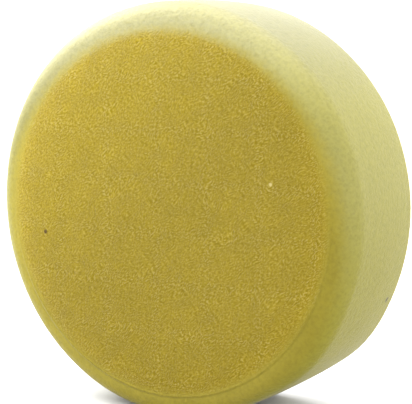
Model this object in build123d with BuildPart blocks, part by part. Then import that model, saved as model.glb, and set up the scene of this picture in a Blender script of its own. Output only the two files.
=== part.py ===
"""Screw-on foam polishing pad for a car polisher, 150 mm across and 50 mm thick.

A disc of open-cell foam is glued to a ribbed plastic plate. A steel nut moulded into the plate's hub
screws onto the machine's M14 spindle. Lengths are in millimetres.

Frame: the pad stands on its rim with +Z up. The spin axis is Y, the working face looks along -Y, and
the origin is the middle of the seat where the spindle's shoulder stops. A depth is a distance from that
seat towards the working face, so a depth d lies at y = -d.
"""

from build123d import *
import math
import os

# Foam disc
pad_diameter = 150.0
foam_thickness = 50.0
front_edge_radius = 8.0
back_edge_radius = 0.8
contact_flat_width = 24.0

# M14 nut, moulded into the hub
thread_minor_diameter = 11.835
nut_across_flats = 22.0
nut_length = 16.0
nut_mouth_chamfer = 1.2
nut_groove_diameter = 18.5
nut_groove_width = 3.0

# Plate and its hub
plate_diameter = 124.0
web_thickness = 2.5
hub_floor = 2.0
hub_top_radius = 15.0
hub_base_radius = 17.5
hub_top_depth = 0.5
hub_foot_fillet = 1.5
edge_fillet = 0.6

# Rim and rings on the plate's back, each a wall that stands up from the web
wall_thickness = 2.0
rim_height = 6.0
ring_radii = (31.5, 46.0)
ring_drop = 1.2

# Radial ribs, high at the hub and low at the rim
rib_count = 12
rib_thickness = 2.2
rib_height_at_hub = 11.0
rib_height_at_rim = 3.0

# Round pads on the outer ring, where the mould's ejector pins press
ejector_pad_count = 6
ejector_pad_diameter = 5.0

# Glue
glue_thickness = 0.4
glue_bead = 1.4

# Worked out from the values above
pad_radius = pad_diameter / 2
plate_radius = plate_diameter / 2
plate_front_depth = nut_length + hub_floor
web_back_depth = plate_front_depth - web_thickness
foam_back_depth = plate_front_depth + glue_thickness
thread_radius = thread_minor_diameter / 2
floor_height = -math.sqrt(pad_radius**2 - (contact_flat_width / 2) ** 2)


def rib_top_depth(radius):
    """Depth of the ribs' sloping top edge at a distance from the spin axis."""
    share = (radius - hub_top_radius) / (plate_radius - hub_top_radius)
    height = rib_height_at_hub + (rib_height_at_rim - rib_height_at_hub) * share
    return web_back_depth - height


# Foam disc: a plain drum with a well rounded front edge and a cut, nearly sharp back edge. The foam gives
# about a millimetre under its own weight, so the rim has a narrow flat where the pad stands on it.
with BuildPart() as foam_body:
    with BuildSketch(Plane.XZ.offset(foam_back_depth)) as foam_outline:
        Circle(pad_radius)
    extrude(amount=foam_thickness)
    fillet(foam_body.edges().sort_by(Axis.Y)[0], front_edge_radius)
    fillet(foam_body.edges().sort_by(Axis.Y)[-1], back_edge_radius)
    split(bisect_by=Plane.XY.offset(floor_height), keep=Keep.TOP)
foam_body.part.label = "foam_body"


# Glue: a thin layer between foam and plate, squeezed out in a hollow bead around the plate's rim
with BuildPart() as adhesive_film:
    with BuildSketch(Plane.XY) as glue_profile:
        with BuildLine() as glue_outline:
            bead_foot = (plate_radius + glue_bead, -foam_back_depth)
            bead_top = (plate_radius, glue_bead - foam_back_depth)
            Line((0, -foam_back_depth), bead_foot)
            RadiusArc(bead_foot, bead_top, glue_bead)
            Line(bead_top, (plate_radius, -plate_front_depth))
            Line((plate_radius, -plate_front_depth), (0, -plate_front_depth))
            Line((0, -plate_front_depth), (0, -foam_back_depth))
        make_face()
    revolve(axis=Axis.Y)
adhesive_film.part.label = "adhesive_film"


# Nut blank: hexagon bar with a groove around its middle that the plastic grips
with BuildPart() as nut_blank:
    with BuildSketch(Plane.XZ) as nut_hexagon:
        RegularPolygon(nut_across_flats / 2, side_count=6, major_radius=False)
    extrude(amount=nut_length)
    groove_depth = (nut_length - nut_groove_width) / 2
    with BuildSketch(Plane.XZ.offset(groove_depth)) as nut_groove:
        Circle(nut_across_flats)
        Circle(nut_groove_diameter / 2, mode=Mode.SUBTRACT)
    extrude(amount=nut_groove_width, mode=Mode.SUBTRACT)


# Nut: the blank with its threaded hole, drawn at the thread's inner diameter, and a lead-in at its mouth
with BuildPart() as thread_insert:
    add(nut_blank.part)
    with BuildSketch(Plane.XZ) as thread_hole:
        Circle(thread_radius)
    extrude(amount=nut_length, mode=Mode.SUBTRACT)
    mouth = thread_insert.edges().filter_by(GeomType.CIRCLE).sort_by(Axis.Y)[-1]
    chamfer(mouth, nut_mouth_chamfer)
thread_insert.part.label = "thread_insert"


# One rib, from the spin axis to the middle of the rim, with a rounded sloping top
with BuildPart() as rib_builder:
    with BuildSketch(Plane.XY) as rib_profile:
        with BuildLine() as rib_outline:
            rib_end = plate_radius - wall_thickness / 2
            Polyline(
                (0, -plate_front_depth),
                (rib_end, -plate_front_depth),
                (rib_end, -rib_top_depth(rib_end)),
                (hub_top_radius, -rib_top_depth(hub_top_radius)),
                (0, -rib_top_depth(hub_top_radius)),
                close=True,
            )
        make_face()
    extrude(amount=rib_thickness / 2, both=True)
    sloping_face = rib_builder.faces().filter_by(GeomType.PLANE).sort_by(Axis.Y)[-2]
    long_edges = sloping_face.edges().filter_by(lambda edge: edge.length > rib_thickness + 1)
    fillet(long_edges, edge_fillet)
rib = rib_builder.part


# Plate: flat web with a rim, two rings, radial ribs and a hub moulded around the nut
with BuildPart() as backing_plate:
    with BuildSketch(Plane.XY) as plate_profile:
        with BuildLine() as web_and_hub:
            Polyline(
                (0, -plate_front_depth),
                (plate_radius, -plate_front_depth),
                (plate_radius, rim_height - plate_front_depth),
                (plate_radius - wall_thickness, rim_height - plate_front_depth),
                (plate_radius - wall_thickness, -web_back_depth),
                (hub_base_radius, -web_back_depth),
                (hub_top_radius, -hub_top_depth),
                (0, -hub_top_depth),
                close=True,
            )
        make_face()
        hub_top = plate_profile.vertices().group_by(Axis.Y)[-1].sort_by(Axis.X)[-1]
        rim_tops = plate_profile.vertices().group_by(Axis.Y)[-2]
        hub_foot = plate_profile.vertices().group_by(Axis.Y)[1].sort_by(Axis.X)[0]
        fillet([hub_top, *rim_tops], edge_fillet)
        fillet(hub_foot, hub_foot_fillet)
        for ring_radius in ring_radii:
            ring_top = ring_drop + rib_top_depth(ring_radius)
            with Locations((ring_radius, -(ring_top + plate_front_depth) / 2)):
                RectangleRounded(wall_thickness, plate_front_depth - ring_top, edge_fillet)
    revolve(axis=Axis.Y)
    add([rib.rotate(Axis.Y, turn * 360 / rib_count) for turn in range(rib_count)])
    with BuildSketch(Plane.XZ.offset(web_back_depth)) as ejector_pads:
        with PolarLocations(ring_radii[-1], ejector_pad_count):
            Circle(ejector_pad_diameter / 2)
    extrude(amount=rib_top_depth(ring_radii[-1]) - web_back_depth)
    add(nut_blank.part, mode=Mode.SUBTRACT)
backing_plate.part.label = "backing_plate"


os.makedirs("parts", exist_ok=True)
export_step(foam_body.part, "parts/foam_body.step")
export_step(adhesive_film.part, "parts/adhesive_film.step")
export_step(backing_plate.part, "parts/backing_plate.step")
export_step(thread_insert.part, "parts/thread_insert.step")
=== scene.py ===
"""Looks of a screw-on foam polishing pad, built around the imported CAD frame.

The foam disc, the glue bead and the threaded nut get detailed meshes of their own. The ribbed plate keeps
its CAD shape. Lengths are in metres in the frame's axes: the working face looks along -Y, the spin axis is Y
and +Z is up. Inside the materials, lengths are in millimetres.
"""

import math

import bpy
import numpy as np
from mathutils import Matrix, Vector, noise


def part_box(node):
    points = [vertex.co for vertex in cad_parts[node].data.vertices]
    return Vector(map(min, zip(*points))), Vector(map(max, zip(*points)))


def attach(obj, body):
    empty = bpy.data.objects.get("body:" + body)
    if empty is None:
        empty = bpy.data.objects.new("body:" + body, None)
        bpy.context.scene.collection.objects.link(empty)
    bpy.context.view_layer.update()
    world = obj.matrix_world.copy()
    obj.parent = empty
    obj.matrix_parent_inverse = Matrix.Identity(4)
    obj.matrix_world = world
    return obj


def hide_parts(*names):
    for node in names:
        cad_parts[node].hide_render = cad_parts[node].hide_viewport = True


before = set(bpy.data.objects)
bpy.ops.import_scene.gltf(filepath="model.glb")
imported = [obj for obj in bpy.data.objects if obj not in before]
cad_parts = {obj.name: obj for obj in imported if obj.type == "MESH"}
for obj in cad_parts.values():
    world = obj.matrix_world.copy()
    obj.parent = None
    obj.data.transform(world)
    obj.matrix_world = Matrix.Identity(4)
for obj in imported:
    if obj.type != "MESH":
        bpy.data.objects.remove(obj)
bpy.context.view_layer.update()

MM = 0.001

# ---------------------------------------------------------------- places, read from the frame

foam_low, foam_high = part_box("foam_body")
plate_low, plate_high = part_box("backing_plate")
nut_low, nut_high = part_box("thread_insert")
PAD_RADIUS = foam_high.x
PAD_FRONT = foam_low.y
PAD_BACK = foam_high.y
PAD_MIDDLE = Vector((0.0, (PAD_FRONT + PAD_BACK) / 2, 0.0))
FLOOR = foam_low.z
PLATE_RADIUS = plate_high.x
PLATE_FRONT = plate_low.y
PLATE_BACK = plate_high.y
NUT_LENGTH = nut_high.y - nut_low.y
NUT_FLATS = nut_high.z - nut_low.z

# ---------------------------------------------------------------- sizes of the detail

# foam: the face falls back a little towards its border, and a rounded edge turns from it into the side
CROWN_START = 46.0 * MM
CROWN_TILT = math.radians(12.0)
FRONT_EDGE = 8.5 * MM
BACK_EDGE = 0.8 * MM
# foam: the side's swelling, which falls to nothing at the back. Its skew holds it up over the front half
SWELL = 1.2 * MM
SWELL_SKEW = 0.6
# foam: where the rim strays from a circle, as degrees from its lowest point towards +X, distance outwards
# and half width in degrees. It sags beside its foot and bulges above that and at the upper left. The waves
# fade inwards by a power of the radius
RIM_WAVES = (
    (29.0, -1.0 * MM, 12.0),
    (50.0, 0.8 * MM, 12.0),
    (-127.0, 0.7 * MM, 24.0),
)
RIM_WAVE_POWER = 6
# foam: the mesh's fineness. Rings near the spin axis have fewer points, and coarse ones close the back
RIM_SEGMENTS = 640
MOST_HALVINGS = 6
FINE_STEP = 0.75 * MM
BACK_EDGE_STEPS = 3
FEWEST_POINTS = 10
CLOSING_SHRINK = 0.75
# foam: size and height of its relief, a slow wave from the saw and a fine grain
WAVE_SIZE = 26.0 * MM
WAVE_HEIGHT = 0.15 * MM
GRAIN_SIZE = 1.7 * MM
GRAIN_HEIGHT = 0.05 * MM

EDGE_RADIUS = PAD_RADIUS + SWELL
FACE_RADIUS = EDGE_RADIUS - FRONT_EDGE * (1 - math.sin(CROWN_TILT))

# ---------------------------------------------------------------- foam's surface, in millimetres

# crinkle of the skin: strokes that lean by an angle, their length in widths, and how far they wander
STROKE_LEAN = math.radians(-38)
STROKE_LENGTH = 2.5
STROKE_SCALE = 2.45
STROKE_WANDER = 4.0
WANDER_SCALE = 0.13
# bands of stronger contrast cross the face: the first one's place and the spacing, along X and along Z. They
# wander with the strokes, which moves them 2 mm towards -X and -Z on average
BANDS = ((-1.0, 21.5), (-5.0, 18.5))
BAND_REACH = 3.5
BAND_CONTRAST = 1.6
# between which heights the hollows' painted shade turns into crests, and crests into painted highlights
CREST_HEIGHTS = (0.34, 0.66)
HIGHLIGHT_HEIGHTS = (0.56, 0.78)
# cells of the cut foam. Their height is a share of the strokes' height, and under the skin a share of that
CELL_SCALE = 0.85
CELL_GRAIN_SCALE = 0.7
PIT_DEPTH = 0.12
CELL_HEIGHT = 0.35
CELLS_UNDER_SKIN = 0.3
# height of the whole relief
RELIEF_HEIGHT = 0.9
# the skin fades out from about this radius, in a ragged line
SKIN_RADIUS = 64.5
SKIN_FADE = 5.0
SKIN_RAGGED = 2.0
MOTTLE_SCALE = 0.55
# a low ridge stands on the skin's lower border and dies away up the pad, between two leans. A lean is how
# far a place is towards LIT_TOP_SIDE, as a share of the pad's radius
RIDGE_RADIUS = 67.2
RIDGE_REACH = 0.9
RIDGE_HEIGHT = 0.4
RIDGE_ENDS = (-0.6, 0.3)
# the pale cut foam starts where distance from the spin axis plus depth behind the face reaches this, in a
# ragged line, and fades in over a width. Both get smaller with the lean, as painted light that brings the
# pale foam further in at the top
PALE_START = 68.0
PALE_START_LEAN = 5.5
PALE_WIDTH = 10.0
PALE_WIDTH_LEAN = 2.0
PALE_RAGGED = 5.0
# directions from the spin axis: to the top's painted highlights, to the face's painted light and to the
# turn's painted shade
LIT_TOP_SIDE = (-0.17, 0.0, 0.98)
FACE_LIGHT_SIDE = (-0.64, 0.0, 0.77)
TURN_SHADE_SIDE = (0.94, 0.0, -0.34)
# how far out in its direction each change of colour starts and is complete
TOP_HIGHLIGHT_FADE = (20.0, 70.0)
LOW_SHADE_FADE = (5.0, -55.0)
FACE_LIGHT_FADE = (-10.0, 70.0)
TURN_SHADE_FADE = (50.0, 70.0)
# the face brightens towards its border; a painted highlight lies on the top of the front edge, to a depth
BORDER_FADE = (56.0, 70.0)
EDGE_HIGHLIGHT_FADE = (25.0, 70.0)
EDGE_HIGHLIGHT_DEPTHS = (3.0, 11.0)

# specks, as centre, radius and colour: dark on the face, dark on the side and pale on the face
SPECKS = (
    ((-52.5, -68.4, -10.5), 1.1, (0.07, 0.04, 0.008, 1)),
    ((68.6, -25.2, -31.6), 1.5, (0.05, 0.035, 0.008, 1)),
    ((44.5, -68.4, 13.3), 0.9, (0.42, 0.35, 0.14, 1)),
)

# ---------------------------------------------------------------- sizes of the glue and the nut

# glue: how far its film reaches under the plate, and the bead squeezed out around the plate's rim
FILM_REACH = 3.0 * MM
BEAD_SIZE = 1.4 * MM
BEAD_POINTS = 720
BEAD_ARC_STEPS = 6
# the bead's rise and its spread, each as a mean and a wander in bead sizes and the scale of its lumps' noise
BEAD_RISE = (0.85, 0.7, 9.0)
BEAD_SPREAD = (0.95, 0.9, 14.0)

# M14 x 2 thread, the nut's lead-in, its corner bevel and the groove that the plastic grips
THREAD_PITCH = 2.0 * MM
THREAD_MINOR = 5.9175 * MM
THREAD_MAJOR = 7.0 * MM
THREAD_STEPS = 14
# half widths of the thread's groove at its mouth and at its bottom, as shares of the pitch
THREAD_MOUTH = 0.375
THREAD_BOTTOM = 0.0625
NUT_POINTS = 120
NUT_LEAD_IN = 1.2 * MM
NUT_BEVEL_RADIUS = 10.7 * MM
NUT_BEVEL_SLOPE = 0.5
NUT_GROOVE_RADIUS = 9.25 * MM
NUT_GROOVE_WIDTH = 3.0 * MM

# ---------------------------------------------------------------- colours and lights

# foam colours, as linear red, green, blue: the skin's hollows in painted shade, its crests and palest
# strokes as painted highlights, the turn of the front edge and its painted shade at the lower right, and
# the cut side with painted shade near the floor, halfway up, and with a painted highlight at the top
SKIN_HOLLOW_SHADE = (0.171, 0.123, 0.001, 1)
SKIN_CREST_LIT = (0.273, 0.210, 0.021, 1)
SKIN_HIGHLIGHT = (0.290, 0.235, 0.068, 1)
TURN_COLOUR = (0.204, 0.168, 0.021, 1)
TURN_SHADE_COLOUR = (0.164, 0.135, 0.013, 1)
SIDE_LOW_SHADE = (0.182, 0.163, 0.020, 1)
SIDE_MIDDLE = (0.218, 0.202, 0.057, 1)
SIDE_TOP_HIGHLIGHT = (0.189, 0.180, 0.092, 1)
# by how much the foam brightens: the face under painted light at its upper left and at its border, slow
# clouds on the face, cells from their pits in painted shade to their walls, and the painted highlight on
# the top of the front edge
FACE_LIGHT_GAIN = 1.3
BORDER_GAIN = 1.1
CLOUD_GAINS = (0.975, 1.025)
CLOUD_SCALE = 0.09
CELL_PIT_SHADE_GAINS = (0.9, 1.1)
EDGE_HIGHLIGHT_GAIN = 1.62
FOAM_SHEEN = 0.12
FOAM_SHEEN_ROUGHNESS = 0.3

# the other pieces' colours, each from one blotch to the next, and the plate's scuffs and dust
PLATE_COLOURS = ((0.013, 0.013, 0.014, 1), (0.022, 0.022, 0.023, 1))
PLATE_SCUFF = (0.052, 0.052, 0.054, 1)
PLATE_DUST = (0.030, 0.027, 0.019, 1)
GLUE_COLOURS = ((0.30, 0.22, 0.07, 1), (0.50, 0.41, 0.18, 1))
STEEL_COLOURS = ((0.42, 0.42, 0.40, 1), (0.62, 0.61, 0.57, 1))
FLOOR_COLOURS = ((0.55, 0.55, 0.55, 1), (0.57, 0.57, 0.57, 1))

# studio: an even white surround over a duller floor, and soft lights by name, azimuth, elevation and watts
WORLD_STRENGTH = 2.5
LIGHTS = (
    ("left_light", -95.0, 42.0, 15.0),
    ("back_light", 180.0, 65.0, 7.0),
)

# ---------------------------------------------------------------- mesh helpers


def mesh_object(name, points, faces, material, sharp_angle=None):
    """A smooth-shaded mesh object from its points and faces, with edges sharp past an angle in degrees."""
    mesh = bpy.data.meshes.new(name)
    mesh.from_pydata([tuple(point) for point in points], [], faces)
    mesh.validate()
    mesh.polygons.foreach_set("use_smooth", [True] * len(mesh.polygons))
    if sharp_angle is not None:
        mesh.set_sharp_from_angle(angle=math.radians(sharp_angle))
    mesh.materials.append(material)
    made = bpy.data.objects.new(name, mesh)
    bpy.context.scene.collection.objects.link(made)
    return made


def ring_faces(start, count, next_start, next_count):
    """Faces between two rings around the spin axis, the next one with as many, half or twice the points."""
    faces = []
    if count == next_count:
        for i in range(count):
            j = (i + 1) % count
            faces.append((start + i, next_start + i, next_start + j, start + j))
        return faces
    few, many, first, second = count, next_count, start, next_start
    if next_count < count:
        few, many, first, second = next_count, count, next_start, start
    for i in range(few):
        corner, after = first + i, first + (i + 1) % few
        left, middle, right = (second + (2 * i + k) % many for k in range(3))
        fan = [(corner, middle, after), (corner, left, middle), (after, middle, right)]
        faces += fan if next_count > count else [face[::-1] for face in fan]
    return faces


def turned_surface(rings):
    """Points and faces of a closed surface around the Y axis. A ring is (radius, y, number of points)."""
    points, faces, starts = [(0.0, rings[0][1], 0.0)], [], []
    for radius, y, count in rings:
        starts.append(len(points))
        for i in range(count):
            angle = 2 * math.pi * i / count
            points.append((radius * math.cos(angle), y, radius * math.sin(angle)))
    points.append((0.0, rings[-1][1], 0.0))
    last = len(points) - 1
    first_count, last_count = rings[0][2], rings[-1][2]
    for i in range(first_count):
        faces.append((0, starts[0] + i, starts[0] + (i + 1) % first_count))
    for k in range(len(rings) - 1):
        faces += ring_faces(starts[k], rings[k][2], starts[k + 1], rings[k + 1][2])
    for i in range(last_count):
        faces.append((last, starts[-1] + (i + 1) % last_count, starts[-1] + i))
    return np.array(points), faces


def looped_surface(loops, count):
    """Points and faces of a closed hoop around the Y axis. A loop gives (radius, y) at count angles."""
    points, faces = [], []
    for loop in loops:
        for i, (radius, y) in enumerate(loop):
            angle = 2 * math.pi * i / count
            points.append((radius * math.cos(angle), y, radius * math.sin(angle)))
    for k in range(len(loops)):
        faces += ring_faces(k * count, count, (k + 1) % len(loops) * count, count)
    return points, faces


# ---------------------------------------------------------------- node helpers


def new_material(name):
    material = bpy.data.materials.new(name)
    material.use_nodes = True
    tree = material.node_tree
    return material, tree, tree.nodes["Principled BSDF"]


def plug(tree, socket, value):
    """Set a socket to a value, or link another node's output to it."""
    if isinstance(value, bpy.types.NodeSocket):
        tree.links.new(value, socket)
    else:
        socket.default_value = value


def node(tree, kind, settings=(), **inputs):
    """A shader node with its settings and its inputs. An input's name has _ in place of a space."""
    made = tree.nodes.new("ShaderNode" + kind)
    for name, value in dict(settings).items():
        setattr(made, name, value)
    for name, value in inputs.items():
        plug(tree, made.inputs[name.replace("_", " ")], value)
    return made


def maths(tree, operation, *values):
    made = tree.nodes.new("ShaderNodeMath")
    made.operation = operation
    for socket, value in zip(made.inputs, values):
        plug(tree, socket, value)
    return made.outputs[0]


def mixed(tree, factor, first, second, blend="MIX"):
    """A colour between two colours, or two colours blended."""
    made = tree.nodes.new("ShaderNodeMix")
    made.data_type = "RGBA"
    made.blend_type = blend
    plug(tree, made.inputs["Factor"], factor)
    plug(tree, made.inputs[6], first)
    plug(tree, made.inputs[7], second)
    return made.outputs[2]


def between(tree, value, low, high, start=0.0, end=1.0):
    """A value rescaled smoothly from the range low to high into start to end."""
    made = tree.nodes.new("ShaderNodeMapRange")
    made.interpolation_type = "SMOOTHSTEP"
    ranges = {"Value": value, "From Min": low, "From Max": high, "To Min": start, "To Max": end}
    for name, number in ranges.items():
        plug(tree, made.inputs[name], number)
    return made.outputs["Result"]


def grey_noise(tree, place, scale, detail=2.0, roughness=0.5, distortion=0.0):
    made = node(tree, "TexNoise", Vector=place, Scale=scale, Detail=detail, Roughness=roughness)
    made.inputs["Distortion"].default_value = distortion
    return made.outputs["Fac"]


def millimetres(tree):
    """Object coordinates in millimetres."""
    place = node(tree, "TexCoord").outputs["Object"]
    scaled = node(tree, "VectorMath", {"operation": "SCALE"}, Vector=place)
    scaled.inputs["Scale"].default_value = 1 / MM
    return scaled.outputs["Vector"]


def spin_radius(tree, parts):
    """Distance from the spin axis."""
    squares = [maths(tree, "MULTIPLY", parts.outputs[axis], parts.outputs[axis]) for axis in "XZ"]
    return maths(tree, "SQRT", maths(tree, "ADD", *squares))


def reach_towards(tree, place, direction):
    """How far a place lies from the spin axis towards a direction."""
    product = node(tree, "VectorMath", {"operation": "DOT_PRODUCT"}, Vector=place)
    product.inputs[1].default_value = direction
    return product.outputs["Value"]


def spot(tree, place, centre, radius):
    """1 inside a small round spot and 0 outside, with a soft edge."""
    away = node(tree, "VectorMath", {"operation": "DISTANCE"}, Vector=place)
    away.inputs[1].default_value = centre
    return between(tree, away.outputs["Value"], 0.4 * radius, radius, 1.0, 0.0)


# ---------------------------------------------------------------- materials


def crinkle(tree, flat):
    """The working face's crinkled skin: its height, and the same with more contrast along a loose grid.

    It is made of short wavy strokes about a millimetre apart. They lie mostly along one diagonal and wander
    from place to place.
    """
    wander = node(tree, "TexNoise", Vector=flat, Scale=WANDER_SCALE, Detail=1.0).outputs["Color"]
    bent = node(tree, "VectorMath", {"operation": "MULTIPLY_ADD"}, Vector=wander)
    bent.inputs[1].default_value = (STROKE_WANDER, STROKE_WANDER, 0.0)
    plug(tree, bent.inputs[2], flat)
    bent = bent.outputs["Vector"]
    turned = node(tree, "VectorRotate", {"rotation_type": "Z_AXIS"}, Vector=bent, Angle=STROKE_LEAN)
    stretched = node(tree, "VectorMath", {"operation": "MULTIPLY"}, Vector=turned.outputs["Vector"])
    stretched.inputs[1].default_value = (1 / STROKE_LENGTH, 1.0, 1.0)
    strokes = grey_noise(tree, stretched.outputs["Vector"], STROKE_SCALE, 1.5, 0.6)

    apart = node(tree, "SeparateXYZ", Vector=bent)
    in_band = []
    for axis, (first, spacing) in zip("XY", BANDS):
        along = maths(tree, "SUBTRACT", apart.outputs[axis], first)
        off_band = maths(tree, "PINGPONG", along, spacing / 2)
        in_band.append(between(tree, off_band, 0.0, BAND_REACH, 1.0, 0.0))
    contrast = between(tree, maths(tree, "MAXIMUM", *in_band), 0.0, 1.0, 1.0, BAND_CONTRAST)
    centred = maths(tree, "SUBTRACT", strokes, 0.5)
    return strokes, maths(tree, "MULTIPLY_ADD", centred, contrast, 0.5)


def cut_cells(tree, place):
    """Height of the cut side: open cells about a millimetre wide with fine grain between them."""
    cells = node(tree, "TexVoronoi", {"feature": "F1"}, Vector=place, Scale=CELL_SCALE, Randomness=1.0)
    pits = between(tree, cells.outputs["Distance"], 0.05, 0.6)
    grain = grey_noise(tree, place, CELL_GRAIN_SCALE, 4.0, 0.65)
    return maths(tree, "MULTIPLY_ADD", pits, PIT_DEPTH, grain)


def foam_zones(tree, place, radius, depth, lean):
    """How far a place is off the skin, and how far it is in the pale cut foam. Both borders are mottled."""
    mottle = grey_noise(tree, place, MOTTLE_SCALE, 3.0, 0.6)
    ragged = maths(tree, "MULTIPLY_ADD", mottle, SKIN_RAGGED, radius)
    off_skin = between(tree, ragged, SKIN_RADIUS, SKIN_RADIUS + SKIN_FADE)
    # painted light: the pale foam starts further in and fades in faster towards the top of the pad
    start = maths(tree, "MULTIPLY_ADD", lean, -PALE_START_LEAN, PALE_START)
    width = maths(tree, "MULTIPLY_ADD", lean, -PALE_WIDTH_LEAN, PALE_WIDTH)
    centred = maths(tree, "SUBTRACT", mottle, 0.5)
    along = maths(tree, "MULTIPLY_ADD", centred, PALE_RAGGED, maths(tree, "ADD", radius, depth))
    return off_skin, between(tree, along, start, maths(tree, "ADD", start, width))


def foam_height(tree, strokes, cells, skin, radius, lean):
    """Height of the relief: crinkle on the skin, cells off it, and a ridge on the skin's lower border."""
    skin_height = maths(tree, "MULTIPLY", strokes, skin)
    cell_share = maths(tree, "MULTIPLY_ADD", skin, CELLS_UNDER_SKIN - 1.0, 1.0)
    cell_height = maths(tree, "MULTIPLY", cells, cell_share)
    height = maths(tree, "MULTIPLY_ADD", cell_height, CELL_HEIGHT, skin_height)
    off_ridge = maths(tree, "ABSOLUTE", maths(tree, "SUBTRACT", radius, RIDGE_RADIUS))
    ridge = between(tree, off_ridge, 0.0, RIDGE_REACH, RIDGE_HEIGHT, 0.0)
    low_down = between(tree, lean, *RIDGE_ENDS, 1.0, 0.0)
    return maths(tree, "MULTIPLY_ADD", ridge, low_down, height)


def face_colour(tree, place, radius, strokes, off_skin):
    """Face colour: ochre strokes, a greener turn, painted shade and highlights, painted light upper left."""
    # painted shade in the strokes' hollows, painted highlights on their crests and palest strokes
    skin_colour = mixed(tree, between(tree, strokes, *CREST_HEIGHTS), SKIN_HOLLOW_SHADE, SKIN_CREST_LIT)
    skin_colour = mixed(tree, between(tree, strokes, *HIGHLIGHT_HEIGHTS), skin_colour, SKIN_HIGHLIGHT)
    # painted shade: the turn darkens towards the lower right
    shaded = between(tree, reach_towards(tree, place, TURN_SHADE_SIDE), *TURN_SHADE_FADE)
    turn_colour = mixed(tree, shaded, TURN_COLOUR, TURN_SHADE_COLOUR)
    colour = mixed(tree, off_skin, skin_colour, turn_colour)
    # painted light: the face brightens towards its upper left
    face_light_reach = reach_towards(tree, place, FACE_LIGHT_SIDE)
    face_light = between(tree, face_light_reach, *FACE_LIGHT_FADE, 1.0, FACE_LIGHT_GAIN)
    border = between(tree, radius, *BORDER_FADE, 1.0, BORDER_GAIN)
    cloud = between(tree, grey_noise(tree, place, CLOUD_SCALE, 4.0, 0.6), 0.3, 0.7)
    clouded = between(tree, cloud, 0.0, 1.0, *CLOUD_GAINS)
    tone = maths(tree, "MULTIPLY", maths(tree, "MULTIPLY", face_light, border), clouded)
    return mixed(tree, 1.0, colour, tone, "MULTIPLY")


def side_colour(tree, towards, height, depth):
    """Cut side: lemon, painted shade near the floor, painted highlight at the top, most at its front edge.
    """
    # painted highlight paler towards the top, painted shade deeper towards the floor
    upper = between(tree, towards, *TOP_HIGHLIGHT_FADE)
    lower = between(tree, towards, *LOW_SHADE_FADE)
    colour = mixed(tree, upper, mixed(tree, lower, SIDE_MIDDLE, SIDE_LOW_SHADE), SIDE_TOP_HIGHLIGHT)
    # painted highlight on the top of the front edge
    at_top = between(tree, height, *EDGE_HIGHLIGHT_FADE, 0.0, EDGE_HIGHLIGHT_GAIN - 1.0)
    near_front = between(tree, depth, *EDGE_HIGHLIGHT_DEPTHS, 1.0, 0.0)
    gain = maths(tree, "MULTIPLY_ADD", at_top, near_front, 1.0)
    return mixed(tree, 1.0, colour, gain, "MULTIPLY")


def foam_material():
    """Open-cell foam: an embossed, crinkled working face and a paler, finer cut side."""
    material, tree, shader = new_material("foam")
    place = millimetres(tree)
    parts = node(tree, "SeparateXYZ", Vector=place)
    flat = node(tree, "CombineXYZ", X=parts.outputs["X"], Y=parts.outputs["Z"]).outputs["Vector"]
    radius = spin_radius(tree, parts)
    depth = maths(tree, "SUBTRACT", parts.outputs["Y"], PAD_FRONT / MM)
    towards = reach_towards(tree, place, LIT_TOP_SIDE)
    lean = maths(tree, "DIVIDE", towards, PAD_RADIUS / MM)
    off_skin, cut = foam_zones(tree, place, radius, depth, lean)
    skin = maths(tree, "SUBTRACT", 1.0, off_skin)

    strokes, stroke_colour = crinkle(tree, flat)
    cells = cut_cells(tree, place)
    height = foam_height(tree, strokes, cells, skin, radius, lean)
    bump = node(tree, "Bump", Strength=1.0, Distance=RELIEF_HEIGHT * MM, Height=height)

    on_face = face_colour(tree, place, radius, stroke_colour, off_skin)
    on_side = side_colour(tree, towards, parts.outputs["Z"], depth)
    colour = mixed(tree, cut, on_face, on_side)
    # painted shade: the cut foam darkens in its cells' pits and lightens on their walls
    cell_shade = between(tree, cells, 0.3, 0.8, *CELL_PIT_SHADE_GAINS)
    colour = mixed(tree, 1.0, colour, mixed(tree, skin, cell_shade, (1, 1, 1, 1)), "MULTIPLY")
    for centre, size, speck_colour in SPECKS:
        colour = mixed(tree, spot(tree, place, centre, size), colour, speck_colour)

    plug(tree, shader.inputs["Base Color"], colour)
    plug(tree, shader.inputs["Normal"], bump.outputs["Normal"])
    shader.inputs["Roughness"].default_value = 0.5
    shader.inputs["Specular IOR Level"].default_value = 0.09
    shader.inputs["Subsurface Weight"].default_value = 0.5
    shader.inputs["Subsurface Radius"].default_value = (1.0, 0.9, 0.4)
    shader.inputs["Subsurface Scale"].default_value = 6.0 * MM
    shader.inputs["Sheen Weight"].default_value = FOAM_SHEEN
    shader.inputs["Sheen Roughness"].default_value = FOAM_SHEEN_ROUGHNESS
    return material


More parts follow.
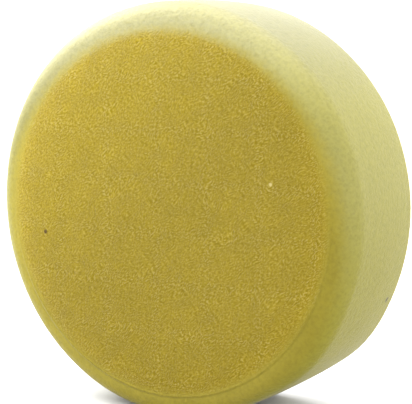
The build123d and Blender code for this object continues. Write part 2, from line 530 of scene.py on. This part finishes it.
def plastic_material():
    """Black glass-filled nylon with a moulded grain, scuffed rib tops and dust low between the ribs."""
    material, tree, shader = new_material("plate")
    place = millimetres(tree)
    parts = node(tree, "SeparateXYZ", Vector=place)
    grain = grey_noise(tree, place, 2.2, 3.0, 0.6)
    flow = grey_noise(tree, place, 0.07, 4.0, 0.5, 1.5)
    scratches = node(tree, "TexGabor", {"gabor_type": "3D"}, Vector=place, Scale=0.16, Frequency=5.0)
    height = maths(tree, "MULTIPLY_ADD", scratches.outputs["Value"], 0.5, grain)
    bump = node(tree, "Bump", Strength=0.7, Distance=0.06 * MM, Height=height)
    patchy = maths(tree, "MULTIPLY_ADD", grey_noise(tree, place, 0.35, 4.0, 0.65), 5.0, parts.outputs["Y"])
    top, web = PLATE_BACK / MM, PLATE_FRONT / MM
    scuffed = between(tree, patchy, top - 3.0, top + 3.5)
    dusty = between(tree, patchy, web + 4.0, web + 9.0, 1.0, 0.0)
    colour = mixed(tree, between(tree, flow, 0.3, 0.7), *PLATE_COLOURS)
    colour = mixed(tree, scuffed, colour, PLATE_SCUFF)
    colour = mixed(tree, dusty, colour, PLATE_DUST)
    plug(tree, shader.inputs["Base Color"], colour)
    plug(tree, shader.inputs["Roughness"], between(tree, flow, 0.25, 0.75, 0.38, 0.55))
    plug(tree, shader.inputs["Normal"], bump.outputs["Normal"])
    return material


def glue_material():
    """Dried contact adhesive, cloudy amber and slightly glossy."""
    material, tree, shader = new_material("glue")
    place = millimetres(tree)
    cloud = grey_noise(tree, place, 0.5, 3.0)
    lumps = grey_noise(tree, place, 1.4)
    bump = node(tree, "Bump", Strength=0.7, Distance=0.15 * MM, Height=lumps)
    plug(tree, shader.inputs["Base Color"], mixed(tree, cloud, *GLUE_COLOURS))
    plug(tree, shader.inputs["Roughness"], between(tree, cloud, 0.3, 0.7, 0.28, 0.45))
    plug(tree, shader.inputs["Normal"], bump.outputs["Normal"])
    shader.inputs["Subsurface Weight"].default_value = 0.4
    shader.inputs["Subsurface Scale"].default_value = 1.0 * MM
    return material


def steel_material():
    """Zinc-plated steel with the fine rings of a turned face and faint blotches."""
    material, tree, shader = new_material("nut")
    place = millimetres(tree)
    radius = spin_radius(tree, node(tree, "SeparateXYZ", Vector=place))
    across = maths(tree, "MULTIPLY", radius, 9.0)
    rings = node(tree, "TexNoise", {"noise_dimensions": "1D"}, W=across, Detail=2.0)
    blotch = grey_noise(tree, place, 0.35, 4.0)
    bump = node(tree, "Bump", Strength=0.5, Distance=0.02 * MM, Height=rings.outputs["Fac"])
    plug(tree, shader.inputs["Base Color"], mixed(tree, blotch, *STEEL_COLOURS))
    plug(tree, shader.inputs["Roughness"], between(tree, blotch, 0.3, 0.7, 0.24, 0.4))
    plug(tree, shader.inputs["Normal"], bump.outputs["Normal"])
    shader.inputs["Metallic"].default_value = 1.0
    return material


def floor_material():
    """Matt white paper with a faint tooth."""
    material, tree, shader = new_material("studio_floor")
    tooth = grey_noise(tree, millimetres(tree), 0.4, 3.0)
    plug(tree, shader.inputs["Base Color"], mixed(tree, tooth, *FLOOR_COLOURS))
    shader.inputs["Roughness"].default_value = 0.9
    return material


# ---------------------------------------------------------------- foam disc


def points_round(radius):
    """Number of points in a ring: halved each time the radius halves."""
    halvings = max(0, int(math.floor(math.log2(PAD_RADIUS / radius) + 1e-9)))
    return RIM_SEGMENTS // 2 ** min(halvings, MOST_HALVINGS)


def crown_fall(radius):
    """How far the face falls back at a radius: nothing in its middle, most where the edge starts to turn."""
    share = max(0.0, radius - CROWN_START) / (FACE_RADIUS - CROWN_START)
    return math.tan(CROWN_TILT) * (FACE_RADIUS - CROWN_START) * share**3 / 3


def foam_rings():
    """The foam's outline as rings: crowned face, rounded front edge, side, back, and the hidden middle."""
    face_steps = round(FACE_RADIUS / FINE_STEP)
    outline = []
    for k in range(1, face_steps + 1):
        radius = FACE_RADIUS * k / face_steps
        outline.append((radius, PAD_FRONT + crown_fall(radius)))
    edge_angle = math.pi / 2 - CROWN_TILT
    edge_steps = round(edge_angle * FRONT_EDGE / FINE_STEP)
    edge_middle = PAD_FRONT + crown_fall(FACE_RADIUS) + FRONT_EDGE * math.cos(CROWN_TILT)
    for k in range(1, edge_steps + 1):
        turn = CROWN_TILT + edge_angle * k / edge_steps
        radius = EDGE_RADIUS - FRONT_EDGE * (1 - math.sin(turn))
        outline.append((radius, edge_middle - FRONT_EDGE * math.cos(turn)))
    side_length = PAD_BACK - BACK_EDGE - edge_middle
    side_steps = round(side_length / FINE_STEP)
    for k in range(1, side_steps + 1):
        share = k / side_steps
        swell = SWELL * (1 - share**2) * (1 + SWELL_SKEW * share)
        outline.append((PAD_RADIUS + swell, edge_middle + side_length * share))
    for k in range(1, BACK_EDGE_STEPS + 1):
        turn = math.pi / 2 * k / BACK_EDGE_STEPS
        radius = PAD_RADIUS - BACK_EDGE * (1 - math.cos(turn))
        outline.append((radius, PAD_BACK - BACK_EDGE * (1 - math.sin(turn))))
    hidden_radius = PLATE_RADIUS - FILM_REACH
    back_steps = round((PAD_RADIUS - BACK_EDGE - hidden_radius) / FINE_STEP)
    for k in range(1, back_steps + 1):
        outline.append((PAD_RADIUS - BACK_EDGE - FINE_STEP * k, PAD_BACK))
    rings = [(radius, y, points_round(radius)) for radius, y in outline]
    # the plate hides the back's middle, so a few coarse rings close it
    radius, y, count = rings[-1]
    while count > FEWEST_POINTS:
        count //= 2
        radius *= CLOSING_SHRINK
        rings.append((radius, y, count))
    return rings


def foam_relief(point):
    """Height of the foam's real surface over its ideal outline: a slow saw-cut wave and a fine grain."""
    wave = noise.noise(Vector(point) / WAVE_SIZE)
    grain = noise.noise(Vector(point) / GRAIN_SIZE + Vector((7.3, 1.9, 4.1)))
    return WAVE_HEIGHT * wave + GRAIN_HEIGHT * grain


def rim_move(points, radius):
    """How far each point near the rim moves outwards where the standing foam sags and bulges."""
    from_bottom = np.degrees(np.arctan2(points[:, 0], -points[:, 2]))
    move = np.zeros(len(points))
    for angle, height, width in RIM_WAVES:
        move += height * np.exp(-(((from_bottom - angle) / width) ** 2))
    near_rim = np.clip(radius / PAD_RADIUS, 0.0, 1.0) ** RIM_WAVE_POWER
    return near_rim * move


def foam_facing(points, radius):
    """How far outwards and how far forwards the ideal outline faces at each point."""
    edge_depth = crown_fall(FACE_RADIUS) + FRONT_EDGE * math.cos(CROWN_TILT)
    in_front = points[:, 1] - PAD_FRONT < edge_depth
    across = np.clip((radius - (EDGE_RADIUS - FRONT_EDGE)) / FRONT_EDGE, 0.0, 1.0)
    outward = np.where(in_front, across, 1.0)
    forward = np.where(in_front, np.sqrt(1.0 - across**2), 0.0)
    back = points[:, 1] > PAD_BACK - 0.5 * BACK_EDGE
    outward[back], forward[back] = 0.0, -1.0
    return outward, forward


def make_foam(material):
    """The foam disc: its ideal outline with its relief, its rim's waves and a flat where it stands."""
    points, faces = turned_surface(foam_rings())
    radius = np.hypot(points[:, 0], points[:, 2])
    outward, forward = foam_facing(points, radius)
    relief = np.array([foam_relief(point) for point in points])
    outward_move = relief * outward + rim_move(points, radius)
    safe = np.maximum(radius, 1e-6)
    points[:, 0] += outward_move * points[:, 0] / safe
    points[:, 2] += outward_move * points[:, 2] / safe
    points[:, 1] -= relief * forward
    points[:, 2] = np.maximum(points[:, 2], FLOOR)
    foam = mesh_object("foam_disc", points, faces, material)
    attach(foam, "root")
    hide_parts("foam_body")


# ---------------------------------------------------------------- glue bead


def bead_section(angle):
    """The glue's outline at one angle, as (radius, y): a film under the plate and a lumpy bead outside."""
    around = Vector((math.cos(angle), math.sin(angle), 0.0))
    mean, wander, scale = BEAD_RISE
    rise = BEAD_SIZE * (mean + wander * noise.noise(around * scale))
    mean, wander, scale = BEAD_SPREAD
    spread = BEAD_SIZE * (mean + wander * noise.noise(around * scale + Vector((3.0, 5.0, 7.0))))
    inner = PLATE_RADIUS - FILM_REACH
    section = [(inner, PAD_BACK), (inner, PLATE_FRONT), (PLATE_RADIUS, PLATE_FRONT)]
    for k in range(BEAD_ARC_STEPS + 1):
        turn = math.pi / 2 * k / BEAD_ARC_STEPS
        section.append((PLATE_RADIUS + spread * math.sin(turn), PAD_BACK + rise * math.cos(turn)))
    section.append((PLATE_RADIUS + spread, PAD_BACK - BEAD_SIZE / 3))
    return section


def make_glue(material):
    """The glue as one closed hoop around the plate's rim."""
    sections = [bead_section(2 * math.pi * i / BEAD_POINTS) for i in range(BEAD_POINTS)]
    points, faces = looped_surface(list(zip(*sections)), BEAD_POINTS)
    glue = mesh_object("glue_bead", points, faces, material)
    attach(glue, "root")
    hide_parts("adhesive_film")


# ---------------------------------------------------------------- threaded nut


def thread_radius(angle, depth):
    """Radius of the threaded hole, with its lead-in cone, at an angle and a depth from the seat."""
    phase = (angle / (2 * math.pi) - depth / THREAD_PITCH) % 1.0
    groove = min(max((THREAD_MOUTH - abs(phase - 0.5)) / (THREAD_MOUTH - THREAD_BOTTOM), 0.0), 1.0)
    radius = THREAD_MINOR + (THREAD_MAJOR - THREAD_MINOR) * groove
    return max(radius, THREAD_MINOR + NUT_LEAD_IN - depth)


def hexagon_radius(angle):
    """Distance from the spin axis to the nut's flats."""
    return NUT_FLATS / 2 / math.cos(angle % math.radians(60) - math.radians(30))


def make_nut(material):
    """The steel nut as one closed hoop: threaded hole, bevelled mouth, and hexagon with its groove."""
    angles = [2 * math.pi * i / NUT_POINTS for i in range(NUT_POINTS)]
    hexagon = [hexagon_radius(angle) for angle in angles]
    loops = []
    bore_steps = round(NUT_LENGTH / THREAD_PITCH * THREAD_STEPS)
    for k in range(bore_steps, -1, -1):
        depth = NUT_LENGTH * k / bore_steps
        loops.append([(thread_radius(angle, depth), -depth) for angle in angles])
    loops.append([(min(flat, NUT_BEVEL_RADIUS), 0.0) for flat in hexagon])
    loops.append([(flat, -NUT_BEVEL_SLOPE * max(0.0, flat - NUT_BEVEL_RADIUS)) for flat in hexagon])
    groove_start = (NUT_LENGTH - NUT_GROOVE_WIDTH) / 2
    groove_end = groove_start + NUT_GROOVE_WIDTH
    loops.append([(flat, -groove_start) for flat in hexagon])
    loops.append([(NUT_GROOVE_RADIUS, -groove_start)] * NUT_POINTS)
    loops.append([(NUT_GROOVE_RADIUS, -groove_end)] * NUT_POINTS)
    loops.append([(flat, -groove_end) for flat in hexagon])
    loops.append([(flat, -NUT_LENGTH) for flat in hexagon])
    points, faces = looped_surface(loops, NUT_POINTS)
    nut = mesh_object("spindle_nut", points, faces, material, sharp_angle=25)
    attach(nut, "root")
    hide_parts("thread_insert")


# ---------------------------------------------------------------- plate


def dress_plate(material):
    """The plate keeps its CAD shape and gets a material of its own."""
    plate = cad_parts["backing_plate"]
    plate.data.materials.clear()
    plate.data.materials.append(material)


# ---------------------------------------------------------------- stage, lights and camera


def make_floor(material):
    """A wide pale floor under the pad."""
    reach = 60.0
    signs = ((-1, -1), (1, -1), (1, 1), (-1, 1))
    corners = [(reach * across, reach * along, FLOOR) for across, along in signs]
    floor = mesh_object("floor", corners, [(0, 1, 2, 3)], material)


def view_direction(azimuth, elevation):
    """Unit vector from the pad towards an azimuth and elevation in degrees. Azimuth 0 is along -Y."""
    turn, rise = math.radians(azimuth), math.radians(elevation)
    return Vector((math.sin(turn) * math.cos(rise), -math.cos(turn) * math.cos(rise), math.sin(rise)))


def make_light(name, azimuth, elevation, power, size=0.5, distance=1.0):
    """A soft square light that shines at the pad's middle."""
    data = bpy.data.lights.new(name, "AREA")
    data.shape = "SQUARE"
    data.size = size
    data.energy = power
    light = bpy.data.objects.new(name, data)
    towards = view_direction(azimuth, elevation)
    light.location = PAD_MIDDLE + towards * distance
    light.rotation_euler = (-towards).to_track_quat("-Z", "Y").to_euler()
    bpy.context.scene.collection.objects.link(light)


def make_world(strength):
    """An even white surround."""
    world = bpy.data.worlds.new("studio")
    world.use_nodes = True
    world.node_tree.nodes["Background"].inputs["Color"].default_value = (1, 1, 1, 1)
    world.node_tree.nodes["Background"].inputs["Strength"].default_value = strength
    bpy.context.scene.world = world


def make_camera(azimuth, elevation, distance, lens, slide):
    """The camera looks along the line to the pad's middle, moved right and up by a small slide."""
    back = view_direction(azimuth, elevation)
    right = Vector((math.cos(math.radians(azimuth)), math.sin(math.radians(azimuth)), 0.0))
    camera = bpy.data.objects.new("camera", bpy.data.cameras.new("camera"))
    camera.location = PAD_MIDDLE + back * distance + right * slide[0] + back.cross(right) * slide[1]
    camera.rotation_mode = "QUATERNION"
    camera.rotation_quaternion = (-back).to_track_quat("-Z", "Y")
    camera.data.lens = lens
    camera.data.sensor_width = 36.0
    bpy.context.scene.collection.objects.link(camera)
    bpy.context.scene.camera = camera


# ---------------------------------------------------------------- build

make_foam(foam_material())
make_glue(glue_material())
make_nut(steel_material())
dress_plate(plastic_material())

make_floor(floor_material())
make_world(WORLD_STRENGTH)
for light_name, azimuth, elevation, power in LIGHTS:
    make_light(light_name, azimuth, elevation, power)
make_camera(azimuth=31.45, elevation=7.34, distance=0.652, lens=153.0, slide=(2.588 * MM, 1.490 * MM))
bpy.context.scene.view_settings.view_transform = "Standard"

bpy.context.view_layer.update()
